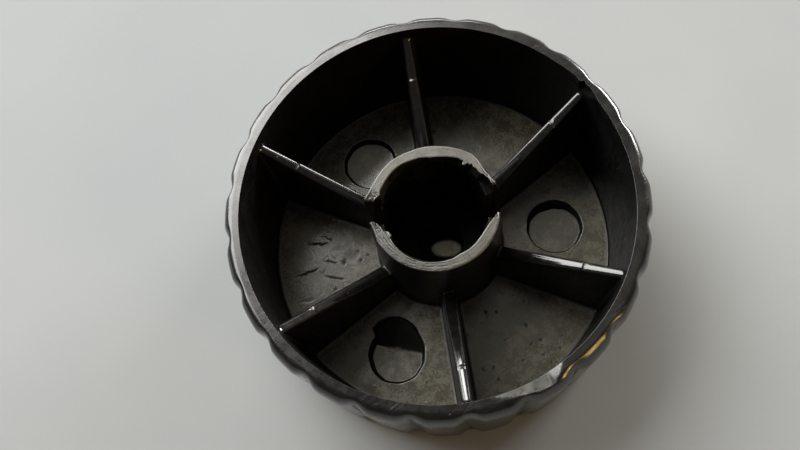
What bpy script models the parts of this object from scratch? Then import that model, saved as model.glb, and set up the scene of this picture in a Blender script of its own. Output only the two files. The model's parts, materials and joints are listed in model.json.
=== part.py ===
"""Steam control knob: a one-piece black injection moulding, open at the back.

The knob lies face down.  Its plain front face is at z = 0, its axis is +Z and
its open back looks up.  A fluted cup holds a split socket hub on the axis and
six ribs between the hub and the wall.  Three ejector marks sit in alternate
pockets.  The hub's collar is cracked open on two sides and the rim is chipped
in two places; those breaks are part of the shape.

All driving dimensions are in millimetres, angles in degrees about +Z, and rib
number 0 points along +X.
"""
import math

import bmesh
import bpy

MM = 0.001

# --- cup ---------------------------------------------------------------
HEIGHT = 23.0            # front face to rim
R_LOBE = 28.5            # over the lobes, just under the rounded rim
R_FRONT = 28.16          # over the lobes, at the front edge (mould draft)
R_RIM_FLAT = 26.95       # outside of the flat ring on top of the rim
RIM_ROUND_H = 3.4        # height of the rim's outer rounding
FRONT_ROUND_H = 1.4      # height of the front edge rounding
R_FRONT_FLAT = 26.6      # outside of the flat front face
FLUTES = 24
FLUTE_DEPTH = 0.65
FLUTE_HALF_ANGLE = 4.3   # a groove's half width
STEPS_PER_FLUTE = 8

# --- cavity ------------------------------------------------------------
R_MOUTH = 26.05          # inside of the rim
R_FLOOR = 25.15          # inside at the floor (core draft)
FLOOR_Z = 3.6            # top of the web
FLOOR_FILLET = 0.7

# --- socket hub --------------------------------------------------------
HUB_TOP_Z = 21.65
R_HUB_TOP = 8.94
R_HUB_BASE = 9.35
HUB_FILLET = 0.6
R_BORE = 7.2
R_BORE_BASE = 7.05
R_DIMPLE_TOP = 3.45      # tapered recess in the socket's floor
R_DIMPLE_BASE = 2.4
DIMPLE_Z = 1.6

# --- ribs --------------------------------------------------------------
RIBS = 6
RIB_BASE_HALF = 1.25     # half thickness at the floor
RIB_DRAFT = 2.05         # side draft
RIB_TOP_AT_WALL = 21.18  # height of a rib's top where it meets the wall
RIB_SLOPE = 0.60         # fall of the top towards the hub
RIB_STEP_R = 20.8        # witness step across the top
RIB_STEP = 0.25

# --- ejector marks -----------------------------------------------------
MARK_R = 4.05
MARK_RING_R = 17.5
MARKS = ((90.0, 1.0), (-30.0, 1.5), (-150.0, 1.5))   # angle, depth


def link(name, bm):
    """Put a bmesh into the scene as a named object."""
    bmesh.ops.remove_doubles(bm, verts=bm.verts, dist=1e-7)
    bmesh.ops.recalc_face_normals(bm, faces=bm.faces)
    mesh = bpy.data.meshes.new(name)
    bm.to_mesh(mesh)
    bm.free()
    obj = bpy.data.objects.new(name, mesh)
    bpy.context.scene.collection.objects.link(obj)
    return obj


def polar(r, deg, z):
    a = math.radians(deg)
    return (r * math.cos(a) * MM, r * math.sin(a) * MM, z * MM)


def skin(bm, rings, close_ends=True):
    """Bridge equal closed rings of points, and cap both ends."""
    rows = [[bm.verts.new(p) for p in ring] for ring in rings]
    n = len(rows[0])
    for low, high in zip(rows, rows[1:]):
        for i in range(n):
            j = (i + 1) % n
            bm.faces.new((low[i], low[j], high[j], high[i]))
    if close_ends:
        bm.faces.new(list(reversed(rows[0])))
        bm.faces.new(rows[-1])
    return rows


def turned(name, profile, steps):
    """A solid of revolution from (radius, z) pairs, bottom to top."""
    bm = bmesh.new()
    skin(bm, [[polar(r, 360.0 * i / steps, z) for i in range(steps)]
              for r, z in profile])
    return link(name, bm)


def flute(deg):
    """0 on a lobe, 1 on the centre line of a groove."""
    pitch = 360.0 / FLUTES
    d = abs((deg + pitch / 2) % pitch - pitch / 2)
    if d >= FLUTE_HALF_ANGLE:
        return 0.0
    return math.cos(math.pi / 2 * d / FLUTE_HALF_ANGLE) ** 2


def fluted_cup():
    """Outer form: drafted, fluted wall with a rounded front edge and rim."""
    steps = FLUTES * STEPS_PER_FLUTE
    z_front, z_rim = FRONT_ROUND_H, HEIGHT - RIM_ROUND_H
    sections = []                       # z, lobe radius, flat radius, share
    for a in (90, 55, 25):
        t = math.radians(a)
        sections.append((z_front * (1 - math.sin(t)), R_FRONT, R_FRONT_FLAT, math.cos(t)))
    sections.append((z_front, R_FRONT, R_FRONT_FLAT, 1.0))
    for a in (0, 22.5, 45, 67.5, 90):
        t = math.radians(a)
        sections.append((z_rim + RIM_ROUND_H * math.sin(t), R_LOBE, R_RIM_FLAT, math.cos(t)))
    rings = []
    for z, lobe, flat, share in sections:
        ring = []
        for i in range(steps):
            deg = 360.0 * i / steps
            outer = lobe - FLUTE_DEPTH * flute(deg)
            ring.append(polar(flat + (outer - flat) * share, deg, z))
        rings.append(ring)
    bm = bmesh.new()
    skin(bm, rings)
    return link("knob_body", bm)


def fillet(r, z, size, inward, steps=3):
    """Quarter-round between a wall at r and a floor at z."""
    pts = []
    for i in range(steps + 1):
        t = math.pi / 2 * i / steps
        run = size * (1 - math.sin(t))
        pts.append((r - run if inward else r + run, z + size * (1 - math.cos(t))))
    return pts


def cavity():
    wall = fillet(R_FLOOR, FLOOR_Z, FLOOR_FILLET, True)
    top = R_MOUTH + (R_MOUTH - R_FLOOR) * 1.0 / (HEIGHT - FLOOR_Z)
    return turned("cut_cavity", wall + [(top, HEIGHT + 1.0)], 144)


def hub():
    foot = fillet(R_HUB_BASE, FLOOR_Z, HUB_FILLET, False)
    return turned("add_hub", [(foot[0][0], FLOOR_Z - 0.8)] + foot + [(R_HUB_TOP, HUB_TOP_Z)], 72)


def rib_top(r):
    z = RIB_TOP_AT_WALL - RIB_SLOPE * (R_MOUTH - r)
    return z + (RIB_STEP if r < RIB_STEP_R else 0.0)


def rib_half(z):
    return RIB_BASE_HALF - (z - FLOOR_Z) * math.tan(math.radians(RIB_DRAFT))


def ribs():
    bm = bmesh.new()
    r0, r1, low = R_BORE + 1.0, R_MOUTH + 0.6, FLOOR_Z - 0.8
    outline = [(r0, low), (r1, low), (r1, rib_top(r1)),
               (RIB_STEP_R + 0.12, rib_top(RIB_STEP_R + 0.12)),
               (RIB_STEP_R - 0.12, rib_top(RIB_STEP_R - 0.12)), (r0, rib_top(r0))]
    for k in range(RIBS):
        a = math.radians(360.0 / RIBS * k)
        c, s = math.cos(a), math.sin(a)
        sides = []
        for side in (-1, 1):
            row = []
            for r, z in outline:
                y = side * rib_half(z)
                row.append(bm.verts.new(((r * c - y * s) * MM, (r * s + y * c) * MM, z * MM)))
            sides.append(row)
        n = len(outline)
        for i in range(n):
            j = (i + 1) % n
            bm.faces.new((sides[0][i], sides[0][j], sides[1][j], sides[1][i]))
        bm.faces.new(list(reversed(sides[0])))
        bm.faces.new(sides[1])
    return link("add_ribs", bm)


def bore():
    return turned("cut_bore", [(R_DIMPLE_BASE, DIMPLE_Z), (R_DIMPLE_TOP, FLOOR_Z),
                               (R_BORE_BASE, FLOOR_Z), (R_BORE, HUB_TOP_Z + 1.0)], 72)


def mark(angle, depth):
    """Round recess left by an ejector pin."""
    a = math.radians(angle)
    cx, cy = MARK_RING_R * math.cos(a), MARK_RING_R * math.sin(a)
    bm = bmesh.new()
    rings = []
    for z, r in ((FLOOR_Z - depth, MARK_R - 0.05), (FLOOR_Z + 0.6, MARK_R)):
        rings.append([((cx + r * math.cos(t)) * MM, (cy + r * math.sin(t)) * MM, z * MM)
                      for t in (2 * math.pi * i / 40 for i in range(40))])
    skin(bm, rings)
    return link("cut_mark", bm)


def mark_scar():
    """Shallow second strike beside the mark in the pocket between ribs 3 and 4."""
    a = math.radians(-150.0)
    cx, cy = (MARK_RING_R - 1.7) * math.cos(a), (MARK_RING_R - 1.7) * math.sin(a)
    bm = bmesh.new()
    skin(bm, [[((cx + 3.5 * math.cos(t)) * MM, (cy + 3.5 * math.sin(t)) * MM, z * MM)
               for t in (2 * math.pi * i / 32 for i in range(32))]
              for z in (FLOOR_Z - 0.55, FLOOR_Z + 0.6)])
    return link("cut_scar", bm)


def radial_cut(name, outline, r0, r1):
    """A cutter with a ragged (angle, z) outline, run out radially from r0 to r1."""
    bm = bmesh.new()
    skin(bm, [[polar(r, a, z) for a, z in outline] for r in (r0, r1)])
    return link(name, bm)


def plan_cut(name, outline, z0, z1):
    """A cutter with a (radius, angle) outline seen from above."""
    bm = bmesh.new()
    skin(bm, [[polar(r, a, z) for r, a in outline] for z in (z0, z1)])
    return link(name, bm)


def collar_breaks():
    """Two gaps through the collar, a broken inner ledge and two thinned ends."""
    up = HUB_TOP_Z + 0.9
    gap_a = [(135.1, up), (135.1, 21.4), (136.2, 19.8), (135.6, 18.1), (138.0, 16.0),
             (139.2, 13.7), (142.4, 11.9), (145.4, 11.3), (148.0, 12.6), (148.8, 14.9),
             (151.4, 17.0), (152.0, 19.3), (154.1, 21.3), (154.1, up)]
    gap_b = [(-44.9, up), (-44.9, 21.3), (-43.0, 19.2), (-43.9, 17.4), (-40.6, 15.2),
             (-38.8, 13.1), (-34.6, 11.7), (-30.4, 11.1), (-26.8, 12.4), (-25.2, 14.9),
             (-21.8, 16.8), (-21.0, 18.9), (-17.9, 21.2), (-17.9, up)]
    ledge = [(-24.0, up), (-24.0, 19.2), (-16.0, 19.9), (-8.0, 19.5), (1.5, 19.9),
             (8.5, 20.6), (12.6, 20.9), (14.0, up)]
    end_a = [(6.3, 149.0), (8.78, 153.6), (8.30, 157.0), (7.75, 161.0), (7.35, 165.0), (6.3, 169.0)]
    end_b = [(6.3, -72.0), (7.32, -64.0), (7.62, -57.0), (8.05, -51.0), (8.55, -45.4), (6.3, -38.0)]
    return [radial_cut("cut_gap_a", gap_a, 6.3, 10.4),
            radial_cut("cut_gap_b", gap_b, 6.3, 10.4),
            radial_cut("cut_ledge", ledge, 6.3, 7.85),
            plan_cut("cut_end_a", end_a, 17.6, up + 0.05),
            plan_cut("cut_end_b", end_b, 18.4, up + 0.05)]


def rim_chip(name, stations, r_in):
    """A chip out of the rim's inner edge.

    Each station is (angle, outer radius, depth on the inner side)."""
    bm = bmesh.new()
    rings = []
    for a, r, depth in stations:
        rings.append([polar(r_in, a, HEIGHT + 0.8), polar(r_in, a, HEIGHT - depth),
                      polar(R_MOUTH - 0.05, a, HEIGHT - depth * 0.92),
                      polar(r, a, HEIGHT - 0.12), polar(r, a, HEIGHT + 0.8)])
    skin(bm, rings)
    return link(name, bm)


def rim_breaks():
    scoop = [(-113.4, 26.12, 0.3), (-110.0, 26.85, 0.8), (-106.0, 27.35, 1.3), (-101.5, 27.62, 1.5),
             (-97.0, 27.68, 1.6), (-94.8, 27.45, 1.5), (-93.9, 26.70, 1.2), (-90.6, 26.45, 1.0),
             (-89.2, 26.10, 0.4)]
    nick = [(-2.4, 26.10, 1.0), (-1.9, 26.50, 3.1), (0.2, 26.62, 3.3), (1.3, 26.46, 3.0),
            (1.7, 26.14, 1.4), (3.0, 26.38, 1.2), (4.4, 26.20, 0.9), (5.9, 26.34, 1.1),
            (7.4, 26.20, 0.8), (8.7, 26.08, 0.3)]
    return [rim_chip("cut_scoop", scoop, 25.2), rim_chip("cut_nick", nick, 25.3)]


def combine(target, tool, operation):
    """Run one exact boolean on target and drop the tool."""
    tool.hide_render = True
    tool.display_type = 'WIRE'
    mod = target.modifiers.new(operation, 'BOOLEAN')
    mod.operation = operation
    mod.object = tool
    mod.solver = 'EXACT'
    graph = bpy.context.evaluated_depsgraph_get()
    result = bpy.data.meshes.new_from_object(target.evaluated_get(graph))
    target.modifiers.clear()
    old = target.data
    target.data = result
    bpy.data.meshes.remove(old)
    mesh = tool.data
    bpy.data.objects.remove(tool)
    bpy.data.meshes.remove(mesh)


def black_plastic():
    mat = bpy.data.materials.new("black_plastic")
    mat.use_nodes = True
    shader = mat.node_tree.nodes["Principled BSDF"]
    shader.inputs["Base Color"].default_value = (0.012, 0.012, 0.012, 1.0)
    shader.inputs["Roughness"].default_value = 0.32
    shader.inputs["Metallic"].default_value = 0.0
    return mat


def main():
    for obj in list(bpy.data.objects):
        bpy.data.objects.remove(obj)

    body = fluted_cup()
    combine(body, cavity(), 'DIFFERENCE')
    combine(body, hub(), 'UNION')
    combine(body, ribs(), 'UNION')
    combine(body, bore(), 'DIFFERENCE')
    for angle, depth in MARKS:
        combine(body, mark(angle, depth), 'DIFFERENCE')
    combine(body, mark_scar(), 'DIFFERENCE')
    for tool in collar_breaks() + rim_breaks():
        combine(body, tool, 'DIFFERENCE')

    bm = bmesh.new()
    bm.from_mesh(body.data)
    bmesh.ops.remove_doubles(bm, verts=bm.verts, dist=2e-6)
    bmesh.ops.dissolve_degenerate(bm, edges=bm.edges, dist=2e-6)
    bmesh.ops.triangulate(bm, faces=bm.faces)
    bm.to_mesh(body.data)
    bm.free()

    body.data.materials.clear()
    body.data.materials.append(black_plastic())
    body.data.shade_smooth()
    body.data.set_sharp_from_angle(angle=math.radians(35))


main()
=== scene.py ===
"""Looks of the steam control knob: one fine moulded mesh, its black plastic, the stage, the lights and the camera."""
import json
import math

import bmesh
import bpy
import numpy as np
from mathutils import Matrix, Vector, noise

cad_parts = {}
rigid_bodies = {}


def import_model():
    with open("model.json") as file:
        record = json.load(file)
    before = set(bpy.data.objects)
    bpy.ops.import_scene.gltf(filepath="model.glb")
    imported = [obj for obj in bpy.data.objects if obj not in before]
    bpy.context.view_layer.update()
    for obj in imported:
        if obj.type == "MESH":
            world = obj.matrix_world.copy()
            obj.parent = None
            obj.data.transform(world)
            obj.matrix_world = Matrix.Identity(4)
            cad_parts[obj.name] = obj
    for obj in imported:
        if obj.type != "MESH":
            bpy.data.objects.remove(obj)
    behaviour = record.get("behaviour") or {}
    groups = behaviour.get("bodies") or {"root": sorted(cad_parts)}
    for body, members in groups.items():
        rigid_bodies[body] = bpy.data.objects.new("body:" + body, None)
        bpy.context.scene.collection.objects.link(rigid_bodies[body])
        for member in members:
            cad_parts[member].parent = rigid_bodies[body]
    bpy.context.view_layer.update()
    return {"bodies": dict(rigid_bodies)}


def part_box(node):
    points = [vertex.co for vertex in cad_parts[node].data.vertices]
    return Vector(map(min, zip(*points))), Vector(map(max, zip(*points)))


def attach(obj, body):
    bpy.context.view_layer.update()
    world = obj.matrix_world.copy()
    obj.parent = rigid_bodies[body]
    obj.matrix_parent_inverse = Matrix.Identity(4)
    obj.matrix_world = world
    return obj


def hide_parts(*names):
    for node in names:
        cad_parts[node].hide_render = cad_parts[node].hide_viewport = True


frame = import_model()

LOW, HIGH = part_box("knob_body")
MM = 0.001

# ----------------------------------------------------------------------------
# Driving sizes, in millimetres and degrees, the same as the CAD part's.
# The axis is +Z, the front face is at z = 0 and rib 0 points along +X.
# ----------------------------------------------------------------------------
HEIGHT = HIGH.z / MM
R_LOBE, R_FRONT, R_FRONT_FLAT, FRONT_H = 28.49, 28.16, 26.6, 1.4
R_FLAT, RIM_H = 26.95, 3.4
R_MOUTH, R_FLOOR, FLOOR = 26.05, 25.15, 3.6
FLUTES, FLUTE_DEPTH, FLUTE_HALF = 24, 0.65, 4.3
HUB_TOP, R_HUB, R_HUB_BASE = 21.65, 8.94, 9.35
R_BORE, R_BORE_BASE = 7.2, 7.05
DIMPLE_R1, DIMPLE_R0, DIMPLE_Z = 3.45, 2.55, 1.6
RIB_HALF, RIB_DRAFT, RIB_WALL_Z, RIB_SLOPE, STEP_R, STEP_H = 1.25, 2.05, 21.18, 0.60, 20.8, 0.20
MARK_R, MARK_RING = 4.2, 17.5
PIT_SHORT, PIT_ASIDE = np.array([0.590, 0.807, 0.0]), np.array([0.66, -0.50, 0.0])   # the pit is oval and off centre
RIB_CROWN = 0.27
MARKS = {1: (90.0, 1.0), 3: (-150.0, 1.95), 5: (-30.0, 1.5)}     # pocket: angle, depth
RND_IN, RND_RIB, RND_EDGE, RND_COLLAR = 0.34, 0.24, 0.03, 0.22
TAN_DRAFT = math.tan(math.radians(RIB_DRAFT))

ZONES = ("wall_out", "rim", "wall_in", "floor", "rib", "rib_top", "hub", "collar", "fracture", "bore", "mark", "pit", "chip")
Z = {n: i for i, n in enumerate(ZONES)}


def smooth(a, b, x):
    t = np.clip((np.asarray(x, float) - a) / (b - a), 0, 1)
    return t * t * (3 - 2 * t)


def wall_r(z):
    return R_FLOOR + (np.asarray(z, float) - FLOOR) * (R_MOUTH - R_FLOOR) / (HEIGHT - FLOOR)


def hub_r(z):
    return R_HUB_BASE + (np.asarray(z, float) - FLOOR) * (R_HUB - R_HUB_BASE) / (HUB_TOP - FLOOR)


def bore_r(z):
    return R_BORE_BASE + (np.asarray(z, float) - FLOOR) * (R_BORE - R_BORE_BASE) / (HUB_TOP - FLOOR)


def rib_w(z):
    return RIB_HALF - (np.asarray(z, float) - FLOOR) * TAN_DRAFT


def rib_z(k, r):
    """Height of the top of rib k at radius r. Rib 0 is broken down beside the wall."""
    r = np.asarray(r, float)
    z = RIB_WALL_Z - RIB_SLOPE * (R_MOUTH - r)
    z = z + STEP_H * (1 - smooth(STEP_R - 0.14, STEP_R + 0.14, r))
    return z - np.where(np.asarray(k) == 0, 0.9 * smooth(25.62, 25.95, r), 0.0)


def wrap(deg):
    return (np.asarray(deg, float) + 180.0) % 360.0 - 180.0


def curve(deg, knots, outside=None):
    """A smooth curve round the axis through (angle, value) knots; outside them it is `outside`."""
    xs = np.array([k[0] for k in knots], float)
    ys = np.array([k[1] for k in knots], float)
    mid = (xs[0] + xs[-1]) / 2
    x = wrap(np.asarray(deg, float) - mid) + mid
    out = np.interp(x, xs, ys)
    if outside is not None:
        out = np.where((x < xs[0]) | (x > xs[-1]), outside, out)
    return out


# --- rim damage ---------------------------------------------------------------
def notch(deg, z):
    """How far the inside of the rim is broken back (mm) at an angle and a height."""
    width = curve(deg, [(-6.4, 0), (-5.2, .16), (-4.0, .22), (-2.6, .36), (-0.9, .34), (0.4, .42), (0.9, .56), (1.3, .54),
                        (1.6, .04), (2.4, .05), (2.9, .13), (4.0, .15), (4.6, .04), (5.3, .13), (6.0, .14), (6.7, .04),
                        (7.6, .12), (8.4, .04), (9.2, .09), (10.4, 0)], 0.0)
    depth = curve(deg, [(-6.4, .3), (-4.0, .7), (-2.6, 1.3), (0.4, 1.7), (1.3, 1.5), (1.6, .6), (4.0, .9), (10.4, .3)], 0.3)
    return width * smooth(HEIGHT - depth - 0.35, HEIGHT - depth + 0.15, z)


SCOOP = [(-113.6, 26.07, .05), (-111.5, 26.40, .35), (-108.0, 26.95, .80), (-104.0, 27.35, 1.15),
         (-100.0, 27.62, 1.35), (-96.8, 27.66, 1.35), (-95.2, 27.30, 1.10), (-94.2, 26.80, .70),
         (-93.0, 26.35, .30), (-92.0, 26.07, .05)]


def worn_down(deg, r):
    """How much the outer rounding of the rim is rubbed down beside the chip."""
    there = curve(deg, [(-94.5, 0.0), (-90.0, 1.0), (-81.0, 1.0), (-74.0, 0.0)], 0.0)
    return 0.36 * there * np.clip((np.asarray(r, float) - 26.98) / 0.85, 0, 1)


def rim_section_z(r):
    """Height of the sound rim at radius r on a lobe, from the flat ring over the outer rounding."""
    r = np.asarray(r, float)
    c = np.clip((r - R_FLAT) / (R_LOBE - R_FLAT), 0, 1)
    return HEIGHT - RIM_H + RIM_H * np.sqrt(1 - c * c)


def scoop_z(deg, r):
    """Height of the scooped chip's surface; far above the rim where there is none."""
    ro = curve(deg, [(a, b) for a, b, _ in SCOOP], 0.0)
    dp = curve(deg, [(a, d) for a, _, d in SCOOP], 0.0)
    r = np.asarray(r, float)
    top = rim_section_z(ro)
    share = np.clip((ro - r) / np.maximum(ro - R_MOUTH, 1e-3), 0, 1)
    z = top + (HEIGHT - 0.45 * dp - top) * share ** 0.9
    return np.where(ro > R_MOUTH, np.where(r < ro, z, 99.0), 99.0)


# --- collar damage ------------------------------------------------------------
GAP_A = [(133.6, 21.65), (135.0, 21.35), (135.9, 19.5), (137.4, 16.8), (139.2, 13.9), (142.0, 12.0), (145.4, 11.4),
         (147.8, 12.5), (149.2, 15.0), (151.0, 17.0), (152.3, 19.2), (153.8, 21.2), (155.2, 21.6)]
GAP_B = [(-46.5, 21.65), (-45.0, 21.4), (-43.8, 19.2), (-42.3, 17.2), (-40.4, 15.2), (-38.4, 13.1), (-34.6, 11.8),
         (-30.4, 11.2), (-27.2, 12.4), (-25.0, 14.9), (-22.4, 16.8), (-20.8, 18.9), (-18.4, 21.2), (-16.9, 21.6)]
# outer edge of the collar's light face where it is chipped, and its inner edge all round
FACE_OUT = [(-206.0, 8.96), (-201.0, 8.81), (-195.0, 8.73), (-188.0, 8.92), (-170.0, 8.98), (-78.0, 8.98), (-68.0, 8.88),
            (-59.0, 8.86), (-52.0, 8.82), (-46.0, 8.76), (-30.0, 8.9), (-18.5, 8.98), (-13.7, 8.70), (-9.4, 8.60), (-2.6, 8.46),
            (3.0, 8.58), (7.2, 8.72), (10.5, 8.87), (13.8, 8.93), (18.0, 9.0), (25.0, 8.92), (34.0, 8.84), (45.0, 8.74),
            (65.0, 8.76), (73.0, 8.72), (83.0, 8.83), (93.0, 8.96), (110.0, 8.98), (136.0, 8.98), (154.0, 8.96)]
FACE_IN = [(-206.0, 8.5), (-202.0, 7.94), (-196.5, 7.62), (-191.5, 7.48), (-190.4, 6.98), (-184.0, 6.90), (-182.8, 7.28),
           (-180.0, 7.31), (-172.0, 7.47), (-165.0, 7.58), (-155.0, 7.68), (-147.0, 7.73), (-139.0, 7.76), (-123.0, 7.64),
           (-111.0, 7.57), (-102.0, 7.38), (-91.0, 7.46), (-79.0, 7.42), (-68.0, 7.40), (-58.0, 7.60), (-51.0, 8.00),
           (-46.5, 8.44), (-30.0, 8.4), (-17.7, 8.37), (-14.0, 8.20), (-11.7, 8.30), (-8.0, 8.02), (-5.3, 7.97), (-2.0, 7.72),
           (1.2, 7.65), (4.5, 7.70), (8.0, 7.60), (10.4, 7.77), (12.5, 7.50), (14.2, 7.55), (15.6, 7.30), (16.2, 6.98),
           (18.9, 6.96), (19.6, 7.50), (26.0, 7.52), (34.0, 7.32), (45.0, 7.08), (56.0, 7.0), (66.0, 7.22), (78.0, 7.33),
           (89.0, 7.56), (99.0, 7.62), (108.0, 7.58), (116.0, 7.60), (122.0, 7.67), (128.0, 7.59), (133.0, 8.01),
           (137.0, 8.5), (154.0, 8.5)]
# height of the broken step inside that edge
STEP_IN = [(-206.0, 18.4), (-198.0, 19.4), (-192.0, 20.9), (-189.0, 21.4), (-70.0, 21.4), (-63.0, 20.2), (-56.0, 18.8),
           (-45.5, 18.4), (-17.0, 19.3), (-8.0, 19.7), (1.5, 20.0), (10.0, 20.6), (14.0, 21.2), (16.5, 21.4),
           (125.0, 21.4), (129.0, 20.4), (134.0, 19.4), (154.0, 18.4)]


def collar_top(deg):
    return np.minimum(curve(deg, GAP_A, HUB_TOP), curve(deg, GAP_B, HUB_TOP))


def rough_ends(deg):
    """1 beside the cracks in the collar, 0 further round."""
    d = np.asarray(deg, float)
    away = [np.abs(wrap(d - a)) / w for a, w in ((135.5, 13), (154.0, 15), (-45.0, 9), (-17.5, 22))]
    return 1 - smooth(0.15, 1.0, np.minimum.reduce(away))


def lumps(x, y):
    """An uneven lumpy field between -1 and 1, lumps about half a millimetre across."""
    x, y = x + 0.16 * np.sin(4.7 * y + 0.7) + 0.07 * np.sin(9.1 * y - 2.0 * x), y + 0.15 * np.sin(3.9 * x + 1.9) + 0.08 * np.sin(8.3 * x + 3.1 * y)
    return (np.sin(8.3 * x + 1.7 * y + 2.3) * np.sin(7.6 * y - 2.1 * x + 1.1) + 0.6 * np.sin(13.1 * x - 4.0 * y) * np.sin(12.3 * y + 3.3 * x + 2.0)) / 1.6


def flare(deg, z):
    """The collar's ends spread a little at the cracks."""
    g = curve(deg, [(116, 0), (127, .22), (133.5, .62), (136.5, .66), (141, .3), (146, 0)], 0.0)
    return g * smooth(15.0, 21.0, z)


# ----------------------------------------------------------------------------
# Grid fractions: finer towards every moulded corner
# ----------------------------------------------------------------------------
def grade(ends, step):
    lo = list(ends)
    span = 1 - 2 * lo[-1]
    n = max(1, round(span / step))
    return np.array(lo + [lo[-1] + span * i / n for i in range(1, n)] + [1 - e for e in reversed(lo)])


U = grade([0, .006, .014, .026, .042, .064], 0.0168)
S = grade([0, .008, .018, .03, .046, .066], 0.0245)
AT_STEP = (STEP_R - 9.2) / (R_MOUTH - 0.08 - 9.2)
S = np.array(sorted([s for s in S if abs(s - AT_STEP) > 0.012]
                    + [AT_STEP + d for d in (-.0095, -.0035, .0035, .0095)]))
T = np.array([0, .010, .023, .040, .062] + list(np.linspace(.095, .93, 9)) + [.966, .984, 1.0])
Y = np.array([-1, -.74, -.42, 0, .42, .74, 1.0])
NU, NY = len(U) - 1, len(Y) - 1
COLS = 6 * (NU + NY)


def rib_end_z(k, s):
    return rib_z(k, 9.2 + (R_MOUTH - 0.08 - 9.2) * np.asarray(s, float))


def pocket_top(k, u, at_wall):
    """Height of the upper edge of pocket k's wall side or hub side."""
    u = np.asarray(u, float)
    if at_wall:
        drop = 0 * u
        if k == 0:
            drop = 0.9 * (1 - smooth(0.0, 0.05, u))
        if k == 5:
            drop = 0.9 * smooth(0.95, 1.0, u)
        return rib_end_z(1, 1.0) - drop
    return rib_end_z(1, 0.0) - 2.6 * np.sin(np.pi * u) ** 0.8


def rib_angle(r, z):
    return np.degrees(np.arcsin(np.clip(rib_w(z) / r, -1, 1)))


def pocket_angle(k, u, r, z):
    a = 60.0 * k + rib_angle(r, z)
    b = 60.0 * (k + 1) - rib_angle(r, z)
    return a + (b - a) * u


def cyl(r, deg, z):
    r, deg, z = np.broadcast_arrays(np.asarray(r, float), np.asarray(deg, float), np.asarray(z, float))
    a = np.radians(deg)
    return np.stack([r * np.cos(a), r * np.sin(a), z], -1)


def ring_columns(at_wall):
    """Angle and lower height of every column that goes on round the wall or the hub."""
    deg, low = [], []
    rad = wall_r if at_wall else hub_r
    for k in range(6):
        zt = float(rib_end_z(k, 1.0 if at_wall else 0.0))
        w, r = float(rib_w(zt)), float(rad(zt))
        deg += [60.0 * k + math.degrees(math.asin(y * w / r)) for y in Y[:-1]]
        low += [zt] * NY
        zu = pocket_top(k, U[:-1], at_wall)
        deg += list(pocket_angle(k, U[:-1], rad(zu), zu))
        low += list(zu)
    return np.array(deg), np.array(low)


# ----------------------------------------------------------------------------
# Patches of points, welded afterwards
# ----------------------------------------------------------------------------
class Patches:
    def __init__(self):
        self.co, self.faces, self.zone, self.n = [], [], [], 0

    def add(self, pts):
        pts = np.asarray(pts, float).reshape(-1, 3)
        self.co.append(pts)
        self.n += len(pts)
        return self.n - len(pts)

    def grid(self, pts, zone, closed=False):
        """pts[row][column]; a zone for all, or one for each band between rows."""
        a, b = np.asarray(pts).shape[:2]
        o = self.add(pts)
        for i in range(a - 1):
            z = zone if isinstance(zone, int) else zone[i]
            for j in range(b if closed else b - 1):
                k = (j + 1) % b
                self.faces.append((o + i * b + j, o + i * b + k, o + (i + 1) * b + k, o + (i + 1) * b + j))
                self.zone.append(z)

    def fan(self, ring, centre, zone):
        o, n = self.add(ring), len(ring)
        c = self.add([centre])
        for j in range(n):
            self.faces.append((o + j, o + (j + 1) % n, c))
            self.zone.append(zone)

    def thin(self, fine, coarse, zone):
        """Joins a closed ring of 3n points to one of n points."""
        o, c = self.add(fine), self.add(coarse)
        n, m = len(fine), len(coarse)
        for i in range(m):
            f = [o + (3 * i + d) % n for d in range(4)]
            p, q = c + i, c + (i + 1) % m
            for face in ((f[0], f[1], p), (f[1], f[2], q, p), (f[2], f[3], q)):
                self.faces.append(face)
                self.zone.append(zone)


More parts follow.
